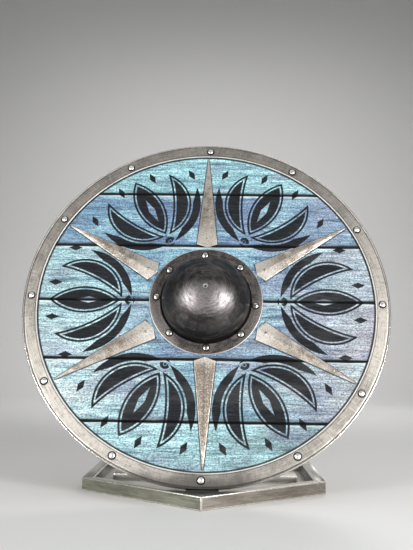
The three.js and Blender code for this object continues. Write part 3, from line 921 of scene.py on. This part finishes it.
class BuildSpikes(bpy.types.Operator):
    """Forge the six flat spikes, with worn bright edges that are partly painted highlight, and a pitted face
    """

    bl_idname = "shield.spikes"
    bl_label = "Spikes"

    nail_circles = (113 * MM, 237 * MM)
    # The stretch of a face that is cut up for its pits, and how finely.
    pits_from = 90 * MM
    pits_to = 280 * MM
    pits_side = 18 * MM
    pits_pitch = 3 * MM

    def execute(self, context):
        pitted = spike_metal()
        worn = worn_highlit_edge("worn_highlit_spike_edge", (0.86, 0.8, 0.7))
        for index, node in enumerate(nodes_named("spike_")):
            if "nail" in node:
                continue
            place = board_place(node)
            turn = Matrix.Rotation(math.atan2(place.x, place.z), 4, "Y")
            shape = merged_copy(node, turn.inverted() @ TO_BOARD)
            back = max(vertex.co.y for vertex in shape.verts)
            outline = [edge for edge in sharp_edges(shape, 50) if self.on_outline(edge, back)]
            soften(shape, outline, 0.75 * MM, 2, material=1)
            top = [face for face in shape.faces if face.normal.y < -0.5 and face.material_index == 0]
            top = slice_up(shape, top, 2, self.pits_from, self.pits_to, self.pits_pitch)
            top = slice_up(shape, top, 0, -self.pits_side, self.pits_side, self.pits_pitch)
            for vertex in {vertex for face in top for vertex in face.verts}:
                if all(face.material_index == 0 for face in vertex.link_faces):
                    vertex.co.y += abs(wander(vertex.co, 90, 0.35 * MM, index * 9.0))
            bmesh.ops.remove_doubles(shape, verts=shape.verts, dist=0.02 * MM)
            make_piece(f"forged_{node}", shape, (pitted, worn), [node], BOARD @ turn, 40)
        return {"FINISHED"}

    def on_outline(self, edge, back):
        """True for the front edges, away from the nail holes."""
        middle = (edge.verts[0].co + edge.verts[1].co) / 2
        clear = all(math.hypot(middle.x, middle.z - circle) > 2.2 * MM for circle in self.nail_circles)
        return clear and middle.y < back - 0.6 * MM


def spike_metal():
    """Warm grey forged steel, pitted and blotched, with painted highlights and a painted dark reflection."""
    recipe = Recipe("spike_metal")
    tint = colours().spike_steel
    place = recipe.board_place_mm()
    x, _, z = place.split()
    pits = place.noise(0.5, 5, 0.75)
    cloud = place.noise(0.06, 5, 0.65)
    speck = recipe.node("TexVoronoi", {"Vector": place, "Scale": 0.4}, "Distance")
    dark = shade(tint, 0.42, 0.37, 0.33)
    light = shade(tint, 1.6, 1.66, 1.74)
    base = cloud.step(0.42, 0.58, 0.25, 1).between(dark, tint)
    base = base.coats((cloud, 0.56, 0.7, 0.6, light))
    # Painted highlights brighten the wide ends and the tips, except at the lowest spike, which a painted
    # dark reflection darkens.
    radius = x.hypot(z) + (cloud - 0.5) * 70
    painted_highlight = radius.step(152, 112, 0, 0.85) * z.step(-116, -100)
    painted_tip_highlight = radius.step(185, 240, 0, 0.6) * z.step(-200, -150, 0.1)
    base = base.mix(painted_highlight.most(painted_tip_highlight), light)
    painted_dark_reflection = z.step(-105, -122, 0, 0.8) * radius.step(262, 225)
    base = base.mix(painted_dark_reflection, dark)
    base = base.coats(
        (pits, 0.5, 0.62, 0.6, light),
        (pits, 0.48, 0.38, 0.6, dark),
        (speck, 0.16, 0.08, 0.5, dark),
    )
    rough = pits.step(0.35, 0.65, 0.6, 0.4)
    normal = recipe.bump(pits + speck * 0.4, 0.4 * MM)
    return recipe.finish(Base_Color=base, Metallic=1.0, Roughness=rough, Normal=normal)


class BuildRivets(bpy.types.Operator):
    """Set the domed rivets of the rim and the boss, each hammered a little differently"""

    bl_idname = "shield.rivets"
    bl_label = "Rivets"

    head_rise = 2.7 * MM
    shank_radius = 2.2 * MM
    tail_radius = 3.8 * MM

    def execute(self, context):
        even = (0.5, 0.5, 0.5)
        steel = colours().rivet_steel
        pale = metal("rim_rivet_metal", steel, 0.36, even, patches=0.3, shares=(0.75, 1.25))
        dim = metal("boss_rivet_metal", (0.62, 0.59, 0.54), 0.24, even, patches=0.2, shares=(0.6, 1.2))
        painted_foot_shadow = metal("rivet_foot_shadow", (0.06, 0.055, 0.05), 0.5, even)
        for index, node in enumerate(nodes_named("rim_rivet_") + nodes_named("boss_rivet_")):
            low, high = board_box(node)
            shape = spun(self.profile(low, high), 28)
            hammer(shape, low.y + 2.5 * MM, 300, 0.35 * MM, index * 5.0)
            # The faces round the foot of each head take a near-black material: painted contact shadow.
            for face in shape.faces:
                middle = face.calc_center_median()
                at_foot = math.hypot(middle.x, middle.z) > (high.x - low.x) * 0.43
                face.material_index = int(at_foot and middle.y < (low.y + high.y) / 2)
            place = fastener_place(low, high)
            bright = pale if node.startswith("rim") else dim
            make_piece(f"domed_{node}", shape, (bright, painted_foot_shadow), [node], place, smooth=50)
        return {"FINISHED"}

    def profile(self, low, high):
        head = (high.x - low.x) / 2
        under = low.y + self.head_rise
        seat = under + 0.1 * MM
        washer = high.y - 1.5 * MM
        points = []
        for number in range(9):
            angle = math.radians(90 * number / 8)
            points.append((head * math.sin(angle), under - self.head_rise * math.cos(angle) * 0.92))
        points += [(head, seat), (self.shank_radius, seat), (self.shank_radius, washer)]
        points += [(self.tail_radius, washer), (self.tail_radius * 0.9, high.y - 0.6 * MM)]
        return points + [(self.tail_radius * 0.5, high.y - 0.1 * MM), (0, high.y)]


class BuildNails(bpy.types.Operator):
    """Drive the small nails that hold the spikes"""

    bl_idname = "shield.nails"
    bl_label = "Nails"

    shank_radius = 1.1 * MM
    head_rise = 1.1 * MM

    def execute(self, context):
        material = metal("nail_metal", (0.5, 0.47, 0.43), 0.38, (0.6, 0.6, 0.6), patches=0.3)
        for index, node in enumerate(nodes_named("spike_nail_")):
            low, high = board_box(node)
            head = (high.x - low.x) / 2
            under = low.y + self.head_rise
            profile = [(0, low.y), (head * 0.55, low.y + 0.15 * MM), (head * 0.9, low.y + 0.6 * MM)]
            profile += [(head, under), (self.shank_radius, under)]
            profile += [(self.shank_radius, high.y - 2 * MM), (0, high.y)]
            shape = spun(profile, 18)
            hammer(shape, under, 500, 0.3 * MM, index * 7.0)
            place = fastener_place(low, high)
            make_piece(f"driven_{node}", shape, (material,), [node], place, smooth=50)
        return {"FINISHED"}


class BuildGrip(bpy.types.Operator):
    """Shape the wooden grip behind the board, rounded where the hand holds it"""

    bl_idname = "shield.grip"
    bl_label = "Grip"

    def execute(self, context):
        shape = merged_copy("grip", TO_BOARD)
        long_edges = [edge for edge in sharp_edges(shape, 20) if self.runs_along(edge)]
        soften(shape, long_edges, 2.2 * MM, 3)
        material = bare_wood("grip_wood", (0.3, 0.3, 0.014), colours().bare_wood)
        make_piece("shaped_grip", shape, (material,), ["grip"], BOARD, smooth=60)
        return {"FINISHED"}

    def runs_along(self, edge):
        start, end = (vertex.co for vertex in edge.verts)
        clear_of_rivets = all(abs(vertex.co.x) > 6 * MM for vertex in edge.verts)
        return clear_of_rivets and abs(end.z - start.z) > abs(end.x - start.x) + abs(end.y - start.y)


# Painted reflections: the front bars take tints of the room they would mirror, greenish at the left and warm
# pink at the right.
STAND_REFLECTION_TINTS = {
    "base_bar_front_left": (0.4, 0.405, 0.325),
    "base_bar_front_right": (0.41, 0.365, 0.315),
}
STAND_SCRATCHED = (0.85, 0.82, 0.76)


class BuildStandFrame(bpy.types.Operator):
    """Round the corners of the stand's tubes and brush them along their length"""

    bl_idname = "shield.stand_frame"
    bl_label = "Stand frame"

    tube_top = 19.5 * MM
    tube_foot = 0.5 * MM
    corner_reach = 205 * MM

    def execute(self, context):
        # Worn bright edges, partly painted highlight.
        worn = worn_highlit_edge("worn_highlit_stand_edge", (0.86, 0.83, 0.76))
        for node in nodes_named("base_bar_"):
            shape = merged_copy(node)
            long_edges = sorted(sharp_edges(shape, 60), key=lambda edge: -edge.calc_length())
            outer = [edge for edge in long_edges if self.is_outer(edge)]
            along = (outer[0].verts[1].co - outer[0].verts[0].co).normalized()
            outer += [edge for edge in long_edges if self.is_mitre(edge)]
            soften(shape, outer, sizes().tube_corner, 4, material=1)
            # The front bars take their painted reflection tints.
            tint = STAND_REFLECTION_TINTS.get(node, colours().stand_steel)
            brushed = stand_metal(f"brushed_{node}", -math.atan2(along.y, along.x), tint)
            make_piece(f"welded_{node}", shape, (brushed, worn), [node])
        return {"FINISHED"}

    def is_mitre(self, edge):
        """True for the upright edge at the outer end of a bar, where two bars meet."""
        start, end = (vertex.co for vertex in edge.verts)
        return abs(end.z - start.z) > self.tube_top and math.hypot(start.x, start.y) > self.corner_reach

    def is_outer(self, edge):
        """True for a long edge on the outside of a tube."""
        height = edge.verts[0].co.z
        return edge.calc_length() > 100 * MM and (height < self.tube_foot or height > self.tube_top)


def stand_metal(name, turn, tint):
    """Lacquered steel, brushed along a bar that is turned about Z."""
    recipe = Recipe(name)
    place = recipe.place_mm()
    along = recipe.node("Mapping", {"Vector": place, "Rotation": (0, 0, turn)})
    brushed = along.marks((0.016, 0.9, 0.9), 5, 0.7)
    cloud = along.marks((0.014, 0.06, 0.06), 4, 0.6)
    scuff = place.marks((0.12, 0.2, 0.3), 5, 0.75, 1.0)
    dark = shade(tint, 0.6)
    light = shade(tint, 1.6)
    base = cloud.step(0.4, 0.6).between(dark, tint)
    base = base.coats(
        (brushed, 0.51, 0.64, 0.7, light),
        (brushed, 0.48, 0.36, 0.6, dark),
        (scuff, 0.64, 0.74, 0.55, light),
    )
    # The corner at the front right is scratched bright.
    x, y, _ = place.split()
    corner = x.step(165, 215) * y.step(-60, -130)
    base = base.mix(corner * scuff.step(0.5, 0.58, 0, 0.8), STAND_SCRATCHED)
    rough = brushed.step(0.3, 0.7, 0.43, 0.27)
    normal = recipe.bump(brushed, 0.07 * MM)
    return recipe.finish(Base_Color=base, Metallic=1.0, Roughness=rough, Normal=normal)


def worn_highlit_edge(name, tint):
    """Bare steel where an edge is rubbed bright, which also stands for a painted highlight along the edge.
    """
    recipe = Recipe(name)
    rub = recipe.place_mm().noise(0.25, 4, 0.7)
    base = rub.step(0.4, 0.62).between(shade(tint, 0.62), tint)
    rough = rub.step(0.35, 0.65, 0.42, 0.28)
    normal = recipe.bump(rub, 0.06 * MM)
    return recipe.finish(Base_Color=base, Metallic=0.65, Roughness=rough, Normal=normal)


class BuildStandSupport(bpy.types.Operator):
    """Finish the foot plate, spines, prop, grip rest and rim seat"""

    bl_idname = "shield.stand_support"
    bl_label = "Stand support"

    def execute(self, context):
        quarter = math.pi / 2
        # Worn bright edges, partly painted highlight.
        worn = worn_highlit_edge("worn_highlit_plate_edge", (0.86, 0.83, 0.76))
        self.plate("foot_plate", "ground_foot_plate", 1.2 * MM, 0, worn)
        self.plate("spine_front", "flat_spine_front", 0.8 * MM, quarter, worn)
        self.plate("spine_back", "flat_spine_back", 0.8 * MM, quarter, worn)
        self.plate("grip_rest", "folded_grip_rest", 0.6 * MM, 0, worn)
        self.prop(worn)
        self.seat()
        return {"FINISHED"}

    def plate(self, node, name, width, turn, worn):
        shape = merged_copy(node)
        soften(shape, sharp_edges(shape, 40), width, 3, material=1)
        brushed = stand_metal(f"brushed_{node}", turn, colours().stand_steel)
        make_piece(name, shape, (brushed, worn), [node])

    def prop(self, worn):
        shape = merged_copy("prop")
        low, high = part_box("prop")
        side = (high.x - low.x) / 2 - 0.5 * MM
        outer = [edge for edge in sharp_edges(shape, 60) if self.is_prop_corner(edge, side)]
        soften(shape, outer, sizes().tube_corner, 4, material=1)
        brushed = metal("brushed_prop", colours().stand_steel, 0.36, (0.9, 0.9, 0.016), "board_place_mm")
        make_piece("tube_prop", shape, (brushed, worn), ["prop"])

    def is_prop_corner(self, edge, side):
        """True for a long edge on the outside of the tube."""
        return edge.calc_length() > 200 * MM and all(abs(vertex.co.x) > side for vertex in edge.verts)

    def seat(self):
        shape = merged_copy("rim_seat")
        soften(shape, sharp_edges(shape, 40), 0.8 * MM, 3)
        recipe = Recipe("black_rubber")
        grit = recipe.place_mm().noise(1.2, 4, 0.6)
        base = grit.step(0.4, 0.65).between((0.008, 0.008, 0.008), (0.02, 0.02, 0.02))
        rough = grit.step(0.3, 0.7, 0.6, 0.8)
        normal = recipe.bump(grit, 0.1 * MM, 0.6)
        material = recipe.finish(Base_Color=base, Roughness=rough, Normal=normal)
        make_piece("rubber_rim_seat", shape, (material,), ["rim_seat"])


class BuildStage(bpy.types.Operator):
    """Set the plain pale floor, the soft lights and the camera"""

    bl_idname = "shield.stage"
    bl_label = "Stage"

    # The floor in metres: how far it runs to each side and to the front, where it starts to turn up
    # into the backdrop, the radius of that turn and how high the backdrop goes.
    floor_reach = 6.0
    sweep_start = 2.2
    sweep_radius = 1.0

    camera_place = (0.0246, -1.3558, 0.2231)
    camera_tilt_up = math.radians(6.14)
    camera_turn_left = math.radians(1.14)
    camera_roll = math.radians(0.8)

    room_tint = (0.62, 0.64, 0.66, 1)
    room_light = 0.27
    room_seen = 0.9

    def execute(self, context):
        self.floor()
        self.lights(context.scene.shield_studio)
        self.room(context.scene)
        self.camera(context.scene)
        context.scene.view_settings.view_transform = "Standard"
        return {"FINISHED"}

    def floor(self):
        """A floor that turns up into a backdrop behind the shield, in one sweep."""
        reach, start, radius = self.floor_reach, self.sweep_start, self.sweep_radius
        shape = bmesh.new()
        sweep = [(-reach, 0.0), (start, 0.0), *arc((start, radius), radius, 270, 360, 12)[1:]]
        sweep += [(start + radius, reach)]
        line = [shape.verts.new((-reach, y, z - 0.5 * MM)) for y, z in sweep]
        edges = [shape.edges.new(pair) for pair in zip(line, line[1:])]
        grown = bmesh.ops.extrude_edge_only(shape, edges=edges)
        moved = [item for item in grown["geom"] if isinstance(item, bmesh.types.BMVert)]
        bmesh.ops.translate(shape, verts=moved, vec=(2 * reach, 0, 0))
        bmesh.ops.recalc_face_normals(shape, faces=shape.faces)
        mesh = bpy.data.meshes.new("studio_floor")
        shape.to_mesh(mesh)
        shape.free()
        recipe = Recipe("floor_paper")
        tint = colours().floor
        base = recipe.place_mm().noise(0.4, 2, 0.5).step(0.4, 0.6).between(tint, shade(tint, 0.98))
        mesh.materials.append(recipe.finish(Base_Color=base, Roughness=0.6))
        mesh.shade_smooth()
        sheet = bpy.data.objects.new("studio_floor", mesh)
        bpy.context.scene.collection.objects.link(sheet)

    def softbox(self, name, place, target, width, height, power, spread=120):
        lamp = bpy.data.lights.new(name, "AREA")
        lamp.shape = "RECTANGLE"
        lamp.size = width
        lamp.size_y = height
        lamp.energy = power
        lamp.spread = math.radians(spread)
        box = bpy.data.objects.new(name, lamp)
        box.visible_camera = False
        box.location = place
        box.rotation_euler = (Vector(target) - Vector(place)).to_track_quat("-Z", "Y").to_euler()
        bpy.context.scene.collection.objects.link(box)

    def lights(self, studio):
        middle = BOARD.translation
        self.softbox("left_softbox", (-1.13, -1.68, 0.7), middle, 0.5, 0.7, studio.side_power)
        self.softbox("right_softbox", (1.24, -1.56, 0.64), middle, 0.42, 0.7, studio.side_power * 1.35)
        self.softbox("top_softbox", (0, -0.2, 2.8), (0, -0.2, 0), 3.0, 2.4, studio.top_power)
        self.softbox("backdrop_softbox", (0, 1.0, 2.6), (0, 2.9, 0.2), 2.4, 0.8, studio.backdrop_power, 95)
        self.softbox("rear_softbox", (0.9, 2.3, 1.9), middle, 1.2, 1.2, studio.rear_power)

    def room(self, scene):
        """A room that is dim as a light, and looks pale where it is seen past the floor."""
        world = bpy.data.worlds.new("studio")
        world.use_nodes = True
        sky = world.node_tree.nodes["Background"]
        sky.inputs["Color"].default_value = self.room_tint
        seen = world.node_tree.nodes.new("ShaderNodeLightPath").outputs["Is Camera Ray"]
        strength = world.node_tree.nodes.new("ShaderNodeMapRange")
        strength.inputs["To Min"].default_value = self.room_light
        strength.inputs["To Max"].default_value = self.room_seen
        world.node_tree.links.new(seen, strength.inputs["Value"])
        world.node_tree.links.new(strength.outputs["Result"], sky.inputs["Strength"])
        scene.world = world

    def camera(self, scene):
        lens = bpy.data.cameras.new("camera")
        lens.lens = scene.shield_studio.lens
        lens.sensor_width = 36
        camera = bpy.data.objects.new("camera", lens)
        aim = Euler((math.pi / 2 + self.camera_tilt_up, 0, self.camera_turn_left)).to_matrix().to_4x4()
        roll = Matrix.Rotation(self.camera_roll, 4, "Z")
        camera.matrix_world = Matrix.Translation(self.camera_place) @ aim @ roll
        scene.collection.objects.link(camera)
        scene.camera = camera


OPERATORS = (
    BuildStage,
    BuildPlanks,
    BuildRim,
    BuildBoss,
    BuildSpikes,
    BuildRivets,
    BuildNails,
    BuildGrip,
    BuildStandFrame,
    BuildStandSupport,
)


class ShieldPanel(bpy.types.Panel):
    """The shield's settings and operators"""

    bl_idname = "VIEW3D_PT_round_shield"
    bl_label = "Round shield"
    bl_space_type = "VIEW_3D"
    bl_region_type = "UI"
    bl_category = "Shield"

    def draw(self, context):
        layout = self.layout
        scene = context.scene
        for settings in (scene.shield_sizes, scene.shield_colours, scene.shield_studio):
            box = layout.box()
            for name in settings.__annotations__:
                box.prop(settings, name)
        for operator in OPERATORS:
            layout.operator(operator.bl_idname)


CLASSES = (ShieldSizes, ShieldColours, StudioSettings, *OPERATORS, ShieldPanel)


def register():
    for each in CLASSES:
        bpy.utils.register_class(each)
    bpy.types.Scene.shield_sizes = PointerProperty(type=ShieldSizes)
    bpy.types.Scene.shield_colours = PointerProperty(type=ShieldColours)
    bpy.types.Scene.shield_studio = PointerProperty(type=StudioSettings)


def unregister():
    del bpy.types.Scene.shield_sizes
    del bpy.types.Scene.shield_colours
    del bpy.types.Scene.shield_studio
    for each in reversed(CLASSES):
        bpy.utils.unregister_class(each)


def main():
    register()
    for operator in OPERATORS:
        family, name = operator.bl_idname.split(".")
        getattr(getattr(bpy.ops, family), name)()


if __name__ == "__main__":
    main()
